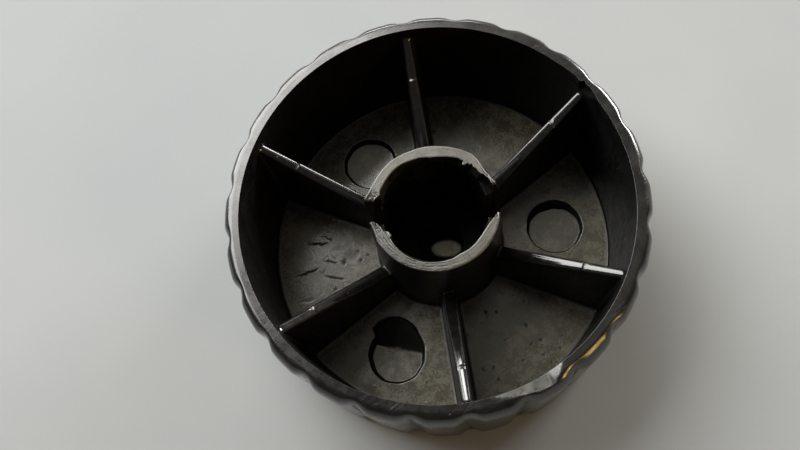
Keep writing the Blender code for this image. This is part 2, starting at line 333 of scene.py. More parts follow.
def build_points():
    m = Patches()
    w_deg, w_low = ring_columns(True)
    h_deg, h_low = ring_columns(False)

    # -- pockets: wall, hub side, floor ------------------------------------
    zf = FLOOR
    r_s = hub_r(zf) + (wall_r(zf) - hub_r(zf)) * S
    for k in range(6):
        for at_wall in (True, False):
            top = pocket_top(k, U, at_wall)
            z = zf + T[:, None] * (top - zf)[None, :]
            r = wall_r(z) if at_wall else hub_r(z)
            m.grid(cyl(r, pocket_angle(k, U[None, :], r, z), z), Z["wall_in"] if at_wall else Z["hub"])
        if k in MARKS:
            marked_floor(m, k, r_s)
        else:
            rr = np.repeat(r_s[:, None], len(U), 1)
            m.grid(cyl(rr, pocket_angle(k, U[None, :], rr, zf), zf), Z["floor"])

    # -- ribs ----------------------------------------------------------------
    for k in range(6):
        top = rib_end_z(k, S)
        z = zf + T[:, None] * (top - zf)[None, :]
        r = hub_r(z) + (wall_r(z) - hub_r(z)) * S[None, :]
        for side in (-1, 1):
            m.grid(cyl(r, 60.0 * k + side * rib_angle(r, z), z), Z["rib"])
        r = hub_r(top) + (wall_r(top) - hub_r(top)) * S
        a = np.degrees(np.arcsin(Y[None, :] * (rib_w(top) / r)[:, None]))
        m.grid(cyl(r[:, None], 60.0 * k + a, top[:, None]), Z["rib_top"])

    # -- wall above the ribs, rim, outside, front -------------------------------
    d = w_deg
    flutes = flute_share(d)
    rows, zones = [], []

    def row(r, z, zone):
        rows.append(cyl(r, d, z))
        zones.append(zone)

    chip_depth = curve(d, [(a, 0.45 * q) for a, _, q in SCOOP], 0.0)
    edge = HEIGHT - RND_EDGE - chip_depth
    for b in (0, .08, .18, .32, .48, .66, .84, .96, .992, 1.0):
        z = w_low + b * (edge - w_low)
        row(wall_r(z) + notch(d, z) * min(1.0, 12 * b), z, Z["wall_in"])
    back = notch(d, HEIGHT)
    for t in (30, 60, 90):
        t = math.radians(t)
        r = R_MOUTH + RND_EDGE * (1 - math.cos(t)) + back
        z = HEIGHT - RND_EDGE * (1 - math.sin(t))
        row(r, np.minimum(z, scoop_z(d, r)), Z["rim"])
    for f in (.03, .12, .3, .5, .7, .88, 1.0):
        r0 = R_MOUTH + RND_EDGE + back
        r = r0 + (R_FLAT - r0) * f
        row(r, np.minimum(HEIGHT, scoop_z(d, r)), Z["rim"])
    for t in (84, 77, 70, 63, 56, 49, 42, 34, 26, 17, 8, 0):
        c, s = math.cos(math.radians(t)) ** 0.84, math.sin(math.radians(t)) ** 0.84
        outer = R_LOBE - FLUTE_DEPTH * flutes
        r = R_FLAT + (outer - R_FLAT) * c
        z = HEIGHT - RIM_H * (1 - s)
        lobe_r = R_FLAT + (R_LOBE - R_FLAT) * c
        row(r, np.minimum(z, scoop_z(d, lobe_r)) - worn_down(d, lobe_r), Z["rim"] if t > 60 else Z["wall_out"])
    z_top, z_bot = HEIGHT - RIM_H, FRONT_H
    for f in np.linspace(0, 1, 12)[1:]:
        z = z_top + (z_bot - z_top) * f
        lobe = R_LOBE + (R_FRONT - R_LOBE) * f
        row(lobe - FLUTE_DEPTH * flutes, z + 0 * d, Z["wall_out"])
    for t in (15, 30, 45, 60, 75, 90):
        t = math.radians(t)
        r = R_FRONT_FLAT + (R_FRONT - FLUTE_DEPTH * flutes - R_FRONT_FLAT) * math.cos(t)
        row(r, FRONT_H * (1 - math.sin(t)) + 0 * d, Z["wall_out"])
    row(R_FRONT_FLAT - 0.5 + 0 * d, 0 * d, Z["wall_out"])
    m.grid(np.array(rows), zones[1:], closed=True)
    ring = cyl(24.5, d[::3], 0.0)
    m.thin(rows[-1], ring, Z["wall_out"])
    ring2 = cyl(12.0, d[::3], 0.0)
    m.grid(np.array([ring, ring2]), Z["wall_out"], closed=True)
    m.fan(ring2, (0, 0, 0), Z["wall_out"])

    # -- hub above the ribs, collar, socket ---------------------------------
    d = h_deg
    rows, zones = [], []
    top = collar_top(d)
    broken = smooth(0.05, 0.8, HUB_TOP - top)
    face_in = curve(d, FACE_IN)
    step_z = np.minimum(curve(d, STEP_IN), top - 0.12)
    rough = rough_ends(d)
    wave = lumps(9.0 * np.radians(d) * 1.3, 0.7 + 0 * d)
    face_in = face_in + 0.13 * rough * wave
    stepped = smooth(7.80, 8.00, face_in)
    e = RND_COLLAR * (1 - 0.5 * broken)
    ro = hub_r(top) + flare(d, top) + np.where(broken > 0.5, 0.0, curve(d, FACE_OUT) - 8.98) - 0.05 * rough * (1 + lumps(d / 3.1, d / 4.3))
    for b in (0, .05, .11, .19, .3, .42, .55, .68, .8, .9, 1.0):
        z = h_low + b * (top - e - h_low)
        row(hub_r(z) + flare(d, z) + (ro - hub_r(top) - flare(d, top)) * smooth(-1.6, -0.2, z - top), z, Z["hub"])
    for t in (30, 60, 90):
        t = math.radians(t)
        row(ro - e * (1 - math.cos(t)), top - e * (1 - math.sin(t)), Z["collar"])
    face_in = np.minimum(face_in, ro - e - 0.10)
    for f in (.1, .24, .4, .56, .72, .86, .96):
        r = (ro - e) + (face_in + 0.07 - ro + e) * f
        a = np.radians(d)
        row(r, top - (0.012 + 0.13 * rough) * (1 + lumps(r * np.cos(a), r * np.sin(a))) * (f < .9), Z["collar"])
    row(face_in, top - 0.05, Z["collar"])
    low = np.where(stepped > 0, step_z * stepped + (top - 1.6) * (1 - stepped), top - 1.6)
    low = np.minimum(low, top - 0.35)
    bore_at = np.minimum(bore_r(low), face_in)
    for f in (.33, .67, 1.0):
        side_r = face_in - 0.02 * f + (bore_at - face_in) * (1 - stepped) * f
        row(side_r, top - 0.05 + (low + 0.05 - top) * f * 0.97, Z["fracture"])
    for f in (.35, .7, 1.0):
        ledge = (0.03 + 0.06 * stepped) * lumps(d * 0.31, 3.0 * f)
        row(side_r + (bore_at - side_r) * f, low - 0.02 * f - 0.04 * math.sin(f * 3) + ledge * (f < 1), Z["fracture"])
    for b in (.08, .17, .27, .38, .5, .62, .74, .85, .93, 1.0):
        z = low - 0.02 + (FLOOR + 0.5 - low) * b
        row(np.minimum(bore_r(z), bore_at + (bore_r(z) - bore_at) * smooth(0, .4, b)), z, Z["bore"])
    for t in (22.5, 45, 67.5, 90):
        t = math.radians(t)
        row(bore_r(FLOOR) - 0.5 * (1 - math.cos(t)) + 0 * d, FLOOR + 0.5 * (1 - math.sin(t)) + 0 * d, Z["bore"])
    row(6.1 + 0 * d, FLOOR + 0 * d, Z["bore"])
    m.grid(np.array(rows), zones[1:], closed=True)
    c = d[::3]
    rows2 = [cyl(5.5, c, FLOOR), cyl(4.5, c, FLOOR)]
    m.thin(rows[-1], rows2[0], Z["bore"])
    for r, z in ((DIMPLE_R1 + .14, FLOOR), (DIMPLE_R1 + .03, FLOOR - .04), (DIMPLE_R1 - .03, FLOOR - .16),
                 (3.1, FLOOR - .85), (2.78, FLOOR - 1.45), (DIMPLE_R0 + .04, DIMPLE_Z + .2), (DIMPLE_R0 - .08, DIMPLE_Z + .04),
                 (DIMPLE_R0 - .28, DIMPLE_Z), (1.2, DIMPLE_Z)):
        share = min(1.0, max(0.0, (FLOOR - z) / 1.4))
        ring = cyl(r, c, z)
        ring -= 0.36 * share * (ring @ PIT_SHORT)[:, None] * PIT_SHORT
        rows2.append(ring + PIT_ASIDE * share)
    m.grid(np.array(rows2), [Z["bore"]] * (len(rows2) - 3) + [Z["pit"]] * 2, closed=True)
    m.fan(rows2[-1], tuple(PIT_ASIDE + np.array([0, 0, DIMPLE_Z])), Z["pit"])
    return m


def flute_share(deg):
    pitch = 360.0 / FLUTES
    d = np.abs((np.asarray(deg, float) + pitch / 2) % pitch - pitch / 2)
    return np.where(d < FLUTE_HALF, np.cos(np.pi / 2 * d / FLUTE_HALF) ** 2, 0.0)


STRIKE = [(-26, 4.2), (4.6, 4.57), (15, 5.0), (28, 5.39), (45, 5.68), (63, 5.78), (80, 5.70), (90, 5.55), (94, 5.42), (97, 4.7),
          (100, 4.2)]          # outline of the second, tilted strike over mark 3: direction, distance


def marked_floor(m, k, r_s):
    """A pocket floor with a round ejector mark: rings from the pocket's edge to the mark's."""
    ang, depth = MARKS[k]
    ring_r = MARK_RING + (0.5 if k == 3 else 0.0)
    cx, cy = ring_r * math.cos(math.radians(ang)), ring_r * math.sin(math.radians(ang))
    zf = FLOOR
    edge = []
    edge += [cyl(r_s[0], pocket_angle(k, u, r_s[0], zf), zf) for u in U[:-1]]
    edge += [cyl(r, pocket_angle(k, 1.0, r, zf), zf) for r in r_s[:-1]]
    edge += [cyl(r_s[-1], pocket_angle(k, u, r_s[-1], zf), zf) for u in U[:0:-1]]
    edge += [cyl(r, pocket_angle(k, 0.0, r, zf), zf) for r in r_s[:0:-1]]
    edge = np.array(edge)
    th = np.arctan2(edge[:, 1] - cy, edge[:, 0] - cx)
    deg = np.degrees(th)
    c, s = np.cos(th), np.sin(th)
    out = np.full(len(th), MARK_R)
    if k == 3:
        out = np.maximum(out, curve(deg, STRIKE, MARK_R))
    ragged = 0.035 * np.sin(5 * th + k) + 0.03 * np.sin(11 * th + 2 * k)
    out = out + ragged
    # the slope of the recess's wall: narrow all round, wide on one side
    narrow = {1: .20, 3: .36, 5: .20}[k]
    wide, towards = {1: (.40, 60.0), 3: (0.0, 0.0), 5: (.78, 62.0)}[k]
    lean = np.maximum(0, np.cos(np.radians(deg - towards))) ** 2
    run = narrow + (wide - narrow) * lean * (wide > 0)
    lip = {1: .0, 3: .10, 5: .06}[k] * np.maximum(0, np.cos(np.radians(deg - {1: 0, 3: 63, 5: 110}[k]))) ** 3
    bevel = 0.06 * np.maximum(0, np.cos(np.radians(deg + 8))) ** 3 * (k == 3)

    def ring(r, z):
        r = np.broadcast_to(r, th.shape)
        z = np.broadcast_to(z, th.shape)
        return np.stack([cx + r * c, cy + r * s, z], -1)

    def bottom(r):
        """Height of the recess's floor: slightly dished; mark 1 leans a little, mark 3 has the tilted strike."""
        x, y = r * c, r * s
        dish = {1: .17, 3: .05, 5: .03}[k] * (r / MARK_R) ** 2
        if k == 1:
            return zf - depth + 0.02 * (x * 0.94 + y * 0.35) + dish
        if k == 3:
            d = x * math.cos(math.radians(40)) + y * math.sin(math.radians(40))
            slope = zf - depth + 0.44 * (d - 1.3)
            inside = smooth(1.1, 1.5, d) * smooth(-1.45, -1.0, x)
            return (zf - depth) + (np.minimum(slope, zf - 0.05) - (zf - depth)) * inside + dish * (1 - inside)
        return zf - depth + dish

    rows = []
    start = ring(out + 0.95, zf)
    for lam in (1, .985, .96, .92, .86, .78, .68, .57, .45, .33, .22, .12, .04, 0):
        rows.append(start + (edge - start) * lam)
    zones = [Z["floor"]] * (len(rows) - 1)
    for off, share, up in ((.70, .25, .1), (.45, .60, .5), (.25, .9, 1.0), (.12, 1.0, .8), (.04, 1.0, .3)):
        rows.append(ring(out + off, zf - bevel * share + lip * up))
        zones.append(Z["floor"])
    low = bottom(out - run - 0.1)
    cut = np.minimum(run * 1.05, (zf - low) * 0.8)
    for f, g in ((.0, .02), (.13, .12), (.40, .42), (.70, .74), (1.0, 1.06)):
        rows.append(ring(out - run * f, zf - cut * g))
        zones.append(Z["mark"])
    rows.append(ring(out - run - .04, bottom(out - run - .04) + .04))
    rows.append(ring(out - run - .16, bottom(out - run - .16)))
    zones += [Z["mark"], Z["mark"]]
    rest = out - run - .16
    for f in (.95, .9, .84, .77, .7, .62, .54, .46, .38, .3, .22, .14):
        rows.append(ring(rest * f, bottom(rest * f)))
        zones.append(Z["mark"])
    m.grid(np.array(rows), zones, closed=True)
    m.fan(rows[-1], (cx, cy, float(bottom(0 * rest)[0])), Z["mark"])


# ----------------------------------------------------------------------------
# Moulded fillets: inner surfaces are drawn onto one rounded shape
# ----------------------------------------------------------------------------
def air(p):
    """Distance into the open inside of the cup, with rounded corners."""
    x, y, z = p[:, 0], p[:, 1], p[:, 2]
    r = np.hypot(x, y)
    deg = np.degrees(np.arctan2(y, x))
    k = np.round(deg / 60.0)
    loc = np.radians(deg - 60.0 * k)
    k = k.astype(int) % 6
    along, across = r * np.cos(loc), np.abs(r * np.sin(loc))
    side = (across - rib_w(z)) * math.cos(math.radians(RIB_DRAFT))
    crown = RIB_CROWN * np.minimum(across / rib_w(z), 1.3) ** 2
    over = (z + crown - np.where(k == 0, rib_z(0, r), rib_z(1, r))) / math.hypot(1, RIB_SLOPE)
    q = RND_RIB
    rib = np.minimum(np.maximum(side, over), -q) + np.hypot(np.maximum(side + q, 0), np.maximum(over + q, 0))
    terms = [wall_r(z) + notch(deg, z) - r, z - FLOOR, r - hub_r(z) - flare(deg, z), rib]
    q = RND_IN
    least = np.minimum.reduce(terms)
    corner = np.sqrt(sum(np.maximum(q - t, 0) ** 2 for t in terms))
    return np.maximum(q, least) - corner


def draw_on(p, steps=5):
    p = p.copy()
    h = 1e-3
    for _ in range(steps):
        f = air(p)
        g = np.stack([(air(p + h * a) - air(p - h * a)) / (2 * h) for a in np.eye(3)], -1)
        n2 = np.maximum((g * g).sum(1), 0.2)
        p -= np.clip(f / n2, -0.3, 0.3)[:, None] * g
    return p


def build_knob():
    m = build_points()
    co = np.concatenate(m.co)
    bm = bmesh.new()
    layer = bm.faces.layers.int.new("zone")
    verts = [bm.verts.new(p) for p in co]
    for f, z in zip(m.faces, m.zone):
        face = bm.faces.new([verts[i] for i in f])
        face[layer] = z
    bmesh.ops.remove_doubles(bm, verts=bm.verts, dist=0.0015)
    bm.verts.ensure_lookup_table()
    p = np.array([v.co for v in bm.verts])
    inner = {Z["wall_in"], Z["floor"], Z["rib"], Z["rib_top"], Z["hub"]}
    own = np.array([all(f[layer] in inner or (f[layer] == Z["mark"]) for f in v.link_faces)
                    and any(f[layer] in inner for f in v.link_faces) for v in bm.verts])
    rim_or_low = (p[:, 2] < 22.0)
    hub_low = ~((np.hypot(p[:, 0], p[:, 1]) < 9.9) & (p[:, 2] > 13.5))
    deg = np.degrees(np.arctan2(p[:, 1], p[:, 0]))
    clear = ~((np.hypot(p[:, 0], p[:, 1]) < 10.2) & (p[:, 2] > collar_top(deg) - 1.2))
    not_mark = np.array([not any(f[layer] == Z["mark"] for f in v.link_faces) for v in bm.verts])
    sel = own & rim_or_low & hub_low & clear & not_mark
    p[sel] = draw_on(p[sel])
    for v, c in zip(bm.verts, p):
        v.co = c
    for f in bm.faces:                           # the collar's light face is only its top
        if f[layer] == Z["collar"] and min(v.co.z for v in f.verts) < HUB_TOP - 0.5:
            f[layer] = Z["fracture"]
    bm.normal_update()
    for f in bm.faces:                           # the sides of a mark are as glossy as the ribs
        if f[layer] == Z["mark"] and abs(f.normal.z) < 0.955:
            f[layer] = Z["hub"]
        if f[layer] == Z["rim"]:                 # the long chip is dull like the floors
            at = f.calc_center_median()
            r, a = math.hypot(at.x, at.y), math.degrees(math.atan2(at.y, at.x))
            if -113.6 < a < -92.0 and at.z < float(rim_section_z(r)) - 0.05:
                f[layer] = Z["chip"]
    return bm, layer, p


def finish_mesh(bm, layer):
    bmesh.ops.recalc_face_normals(bm, faces=bm.faces)
    bmesh.ops.scale(bm, vec=(MM, MM, MM), verts=bm.verts)
    for f in bm.faces:
        f.smooth = True
        f.material_index = f[layer]
    mesh = bpy.data.meshes.new("knob_moulding")
    bm.to_mesh(mesh)
    bm.free()
    obj = bpy.data.objects.new("knob_moulding", mesh)
    bpy.context.scene.collection.objects.link(obj)
    return obj


# ----------------------------------------------------------------------------
# Materials: one black moulded plastic, told apart by finish, wear and breaks, with painted shade in hollows and on the
# collar's face and painted light in the pit
# ----------------------------------------------------------------------------
class Tree:
    """Short names for the shader nodes of a material or of the world."""

    def __init__(self, owner):
        owner.use_nodes = True
        self.t = owner.node_tree
        self.at = None

    def new(self, kind, **props):
        n = self.t.nodes.new(kind)
        for k, v in props.items():
            setattr(n, k, v)
        return n

    def put(self, socket, value):
        if isinstance(value, bpy.types.NodeSocket):
            self.t.links.new(value, socket)
        elif value is not None:
            socket.default_value = value

    def place(self):
        if self.at is None:
            self.at = self.new("ShaderNodeTexCoord").outputs["Object"]
        return self.at

    def math(self, op, a, b=None, c=None):
        n = self.new("ShaderNodeMath", operation=op)
        for s, v in zip(n.inputs, (a, b, c)):
            self.put(s, v)
        return n.outputs[0]

    def vec(self, op, a, b=None):
        n = self.new("ShaderNodeVectorMath", operation=op)
        self.put(n.inputs[0], a)
        if b is not None:
            self.put(n.inputs["Scale"] if op == "SCALE" else n.inputs[1], b)
        return n.outputs["Value"] if op in ("DOT_PRODUCT", "LENGTH", "DISTANCE") else n.outputs["Vector"]

    def noise(self, size_mm, detail=2.0, rough=0.5, at=None, out="Fac"):
        n = self.new("ShaderNodeTexNoise")
        self.put(n.inputs["Vector"], at if at is not None else self.place())
        n.inputs["Scale"].default_value = 1.0 / (size_mm * MM)
        n.inputs["Detail"].default_value = detail
        n.inputs["Roughness"].default_value = rough
        return n.outputs[out]

    def cells(self, size_mm):
        n = self.new("ShaderNodeTexVoronoi")
        self.put(n.inputs["Vector"], self.place())
        n.inputs["Scale"].default_value = 1.0 / (size_mm * MM)
        return n.outputs["Distance"]

    def step(self, value, lo, hi, a=0.0, b=1.0):
        n = self.new("ShaderNodeMapRange", interpolation_type="SMOOTHSTEP")
        for name, v in (("Value", value), ("From Min", lo), ("From Max", hi), ("To Min", a), ("To Max", b)):
            self.put(n.inputs[name], v)
        return n.outputs["Result"]

    def blend(self, share, a, b):
        n = self.new("ShaderNodeMix", data_type="RGBA")
        self.put(n.inputs[0], share)
        self.put(n.inputs[6], a)
        self.put(n.inputs[7], b)
        return n.outputs[2]

    def attr(self, name):
        return self.new("ShaderNodeAttribute", attribute_name=name).outputs["Fac"]

    def bump(self, height, depth_mm, strength=1.0):
        n = self.new("ShaderNodeBump")
        n.inputs["Strength"].default_value = strength
        n.inputs["Distance"].default_value = depth_mm * MM
        self.put(n.inputs["Height"], height)
        return n.outputs["Normal"]


def scratches(t, angle, size_mm, width, seed, stretch=16.0):
    """Thin broken lines that lie near one direction in the plan."""
    m = t.new("ShaderNodeMapping")
    t.put(m.inputs["Vector"], t.place())
    m.inputs["Location"].default_value = (seed * MM, 0.7 * seed * MM, 0.3 * seed * MM)
    m.inputs["Rotation"].default_value = (0, 0, math.radians(angle))
    m.inputs["Scale"].default_value = (1.0 / stretch, 1.0, 0.4)
    off = t.math("ABSOLUTE", t.math("SUBTRACT", t.noise(size_mm, 1.0, 0.5, m.outputs["Vector"]), 0.5))
    return t.math("MULTIPLY", t.step(off, width, 0.0), t.step(t.noise(3.7, 2.0, 0.5), 0.48, 0.60))


def plastic(name, dark, light, rough, rough_to, cloud_mm=2.2, fine_mm=0.22, grain_mm=0.35, grain_depth=0.004,
            wear=None, wear_colour=(0.16, 0.16, 0.15), speck=None, more=None, level=0.5):
    """Black plastic with clouded colour and gloss, fine grain, specks, rubbed edges, and painted shade in its hollows.
    """
    mat = bpy.data.materials.new(name)
    t = Tree(mat)
    b = t.t.nodes["Principled BSDF"]
    cloud, fine = t.noise(cloud_mm, 4.0, 0.6), t.noise(fine_mm, 2.0, 0.6)
    mixed = t.math("ADD", t.math("MULTIPLY", cloud, 0.6), t.math("MULTIPLY", fine, 0.4))
    share = t.step(mixed, 0.36, 0.64)
    colour = t.blend(share, (*dark, 1), (*light, 1))
    gloss = t.step(mixed, 0.36, 0.64, rough, rough_to)
    height = t.math("ADD", t.noise(grain_mm, 3.0, 0.6), t.math("MULTIPLY", cloud, 0.8))
    if wear:
        edge = t.step(t.attr("edge"), wear[0], wear[1])
        worn = t.math("MULTIPLY", edge, t.step(t.noise(0.5, 4.0, 0.7), 0.36, 0.60))
        colour = t.blend(worn, colour, (*wear_colour, 1))
        gloss = t.math("ADD", gloss, t.math("MULTIPLY", worn, 0.12))
    # painted shade: the colour in concave fillets and corners is darkened nearly to black; they are also made rougher
    hollow_shade = t.step(t.attr("hollow"), 0.025, 0.075)
    colour = t.blend(hollow_shade, colour, (0.0012, 0.0011, 0.001, 1))
    gloss = t.math("ADD", gloss, t.math("MULTIPLY", hollow_shade, 0.42))
    if speck:
        size, radius, tint = speck
        dot = t.math("MULTIPLY", t.step(t.cells(size), radius, radius * 0.45), t.step(t.noise(2.6, 1.0, 0.5), 0.46, 0.54))
        colour = t.blend(dot, colour, (*tint, 1))
    if more:
        colour, gloss, height = more(t, colour, gloss, height)
    t.put(b.inputs["Base Color"], colour)
    t.put(b.inputs["Roughness"], gloss)
    t.put(b.inputs["Normal"], t.bump(height, grain_depth))
    b.inputs["Specular IOR Level"].default_value = level
    return mat


def scuffed_floor(t, colour, gloss, height):
    """Dark scuffs in the pocket at 150 degrees, and short drag lines."""
    wob = t.vec("SCALE", t.vec("SUBTRACT", t.noise(0.9, 3.0, 0.6, out="Color"), (0.5, 0.5, 0.5)), 0.9 * MM)
    at = t.vec("MULTIPLY", t.vec("ADD", t.place(), wob), (1.0, 1.0, 0.0))
    total = t.math("MULTIPLY", t.step(t.noise(1.5, 4.0, 0.65), 0.60, 0.72), 0.35)
    for x, y, length, width, angle, amount in SCUFFS + SPOTS:
        m = t.new("ShaderNodeMapping", vector_type="TEXTURE")
        t.put(m.inputs["Vector"], at)
        m.inputs["Location"].default_value = (x * MM, y * MM, 0)
        m.inputs["Rotation"].default_value = (0, 0, math.radians(angle))
        m.inputs["Scale"].default_value = (length * MM, width * MM, MM)
        one = t.step(t.vec("LENGTH", m.outputs["Vector"]), 1.0, 0.35, 0.0, amount)
        total = t.math("MAXIMUM", total, one)
    pale = None
    for x, y, length, width, angle, amount in CHAFES:
        m = t.new("ShaderNodeMapping", vector_type="TEXTURE")
        t.put(m.inputs["Vector"], at)
        m.inputs["Location"].default_value = (x * MM, y * MM, 0)
        m.inputs["Rotation"].default_value = (0, 0, math.radians(angle))
        m.inputs["Scale"].default_value = (length * MM, width * MM, MM)
        one = t.step(t.vec("LENGTH", m.outputs["Vector"]), 1.0, 0.35, 0.0, amount)
        pale = one if pale is None else t.math("MAXIMUM", pale, one)
    colour = t.blend(pale, colour, (0.17, 0.158, 0.130, 1))
    colour = t.blend(total, colour, (0.0015, 0.0013, 0.001, 1))
    gloss = t.math("ADD", gloss, t.math("MULTIPLY", total, 0.5))
    return colour, gloss, t.math("SUBTRACT", height, t.math("MULTIPLY", total, 6.0))


def turned_face(t, colour, gloss, height):
    """Concentric cut lines in the collar's face, deepest on one side; painted shade darkens one side of the face."""
    wob = t.math("MULTIPLY", t.math("SUBTRACT", t.noise(2.4, 3.0, 0.6), 0.5), 0.55 * MM)
    r = t.math("ADD", t.vec("LENGTH", t.vec("MULTIPLY", t.place(), (1.0, 1.0, 0.0))), wob)
    wave = t.math("SINE", t.math("MULTIPLY", r, 2 * math.pi / (0.40 * MM)))
    side = t.step(t.vec("DOT_PRODUCT", t.place(), (-0.94, -0.34, 0.0)), 4.2 * MM, 6.8 * MM, 0.10, 1.0)
    line = t.math("MULTIPLY", t.step(wave, 0.35, -0.85), t.math("MULTIPLY", side, t.step(t.noise(1.3, 2.0, 0.5), 0.36, 0.52)))
    # painted shade: the face is darkened towards the side at 190 to 230 degrees; it is also darker in patches near the
    # crack at about 135 to 155 degrees
    near_shade_and_dark_end = t.step(t.vec("DOT_PRODUCT", t.place(), (-0.64, -0.77, 0.0)), -1.0 * MM, 7.0 * MM, 0.0, 0.40)
    near_shade_and_dark_end = t.math("ADD", near_shade_and_dark_end, t.step(t.vec("DOT_PRODUCT", t.place(), (-0.985, -0.17, 0.0)), 6.2 * MM, 8.0 * MM, 0.0, 0.35))
    end = t.math("MULTIPLY", t.step(t.vec("DOT_PRODUCT", t.place(), (-0.848, 0.53, 0.0)), 7.3 * MM, 8.3 * MM), t.step(t.noise(0.7, 3.0, 0.6), 0.38, 0.62, 0.25, 0.75))
    near_shade_and_dark_end = t.math("MAXIMUM", near_shade_and_dark_end, end)
    colour = t.blend(near_shade_and_dark_end, colour, (0.004, 0.004, 0.0035, 1))
    colour = t.blend(t.math("MULTIPLY", line, 0.9), colour, (0.004, 0.004, 0.0035, 1))
    return colour, gloss, t.math("SUBTRACT", height, t.math("MULTIPLY", line, 5.0))


def handled_rim(t, colour, gloss, height):
    """Fine rubbing marks all over the rim."""
    s = t.math("MAXIMUM", scratches(t, 20, 0.9, 0.012, 3.0), scratches(t, 112, 1.1, 0.010, 11.0))
    colour = t.blend(t.math("MULTIPLY", s, 0.20), colour, (0.03, 0.03, 0.028, 1))
    return colour, t.math("ADD", gloss, t.math("MULTIPLY", s, 0.12)), t.math("SUBTRACT", height, t.math("MULTIPLY", s, 0.5))


def drawn_wall(t, colour, gloss, height):
    """Faint upright drag lines from the mould and a few scuffs."""
    m = t.new("ShaderNodeMapping")
    t.put(m.inputs["Vector"], t.place())
    m.inputs["Scale"].default_value = (1.0, 1.0, 0.05)
    drag = t.noise(0.30, 3.0, 0.6, m.outputs["Vector"])
    s = scratches(t, 60, 1.0, 0.010, 5.0, 8.0)
    colour = t.blend(t.math("MULTIPLY", s, 0.20), colour, (0.04, 0.04, 0.038, 1))
    gloss = t.math("ADD", gloss, t.math("MULTIPLY", t.math("SUBTRACT", drag, 0.5), 0.25))
    return colour, gloss, t.math("ADD", height, t.math("MULTIPLY", drag, 0.5))


SCUFFS = [(-14.37, 12.28, 2.1, .27, -37, 1.0), (-12.77, 12.09, 1.1, .20, -58, .8), (-14.51, 8.64, 1.5, .24, -44, .9),
          (-12.99, 7.28, .45, .85, -36, .8), (-18.39, 9.55, 2.6, .25, -20, 1.0), (-15.52, 6.21, 2.1, .22, -47, .9),
          (-16.52, 4.72, .38, .34, 0, .8), (-20.85, 5.98, 1.5, .35, -26, .45), (-10.35, 7.34, .40, .36, 0, .8),
          (-10.7, 5.94, .42, .36, 0, .8), (-9.5, 5.8, .40, .36, 0, .7), (-11.2, 7.5, 1.7, 1.3, 30, .40),
          (-12.1, 9.3, 1.6, .6, -30, .30)]

SPOTS = [(-1.4, -12.4, 0.44, 0.36, 72, .9), (-0.2, -13.3, 0.37, 0.31, 52, .9), (1.9, -17.5, 0.51, 0.41, 82, .9), (2.1, -20.5, 0.41, 0.32, 0, .9),
         (0.7, -20.1, 0.37, 0.31, 27, .9), (-1.8, -21.2, 0.44, 0.36, 61, .9), (-7.0, -18.6, 0.37, 0.31, 58, .9), (-5.7, -19.4, 0.41, 0.32, 38, .9),
         (-6.2, -21.1, 0.37, 0.31, 73, .9), (-4.7, -23.7, 0.44, 0.36, 33, .9), (1.1, -22.5, 0.37, 0.31, 28, .9), (9.6, 21.1, 0.41, 0.32, 38, .9),
         (11.0, 15.4, 0.41, 0.32, 61, .9), (16.3, 17.1, 0.37, 0.31, 14, .9), (19.1, 15.9, 0.37, 0.31, 50, .9), (3.5, -23.2, 0.34, 0.27, 50, .9),
         (-1.9, -17.3, 0.34, 0.27, 25, .9)]         # small dark specks on the pocket floors


def deep_bore(t, colour, gloss, height):
    """Dull at the bottom of the bore, drawn lines on its wall."""
    colour, gloss, height = drawn_wall(t, colour, gloss, height)
    low = t.step(t.vec("DOT_PRODUCT", t.place(), (0.0, 0.0, 1.0)), 5.2 * MM, 4.0 * MM)
    return colour, t.math("ADD", gloss, t.math("MULTIPLY", low, 0.45)), height


CHAFES = [(-10.6, 8.25, 1.3, .32, 54, 1.0), (-11.6, 9.6, 1.0, .28, 20, .8), (-9.3, 7.0, .9, .3, 54, .8),
          (-15.0, 10.6, 2.6, 1.5, -40, .35), (-12.4, 5.6, 1.3, .3, -45, .5)]

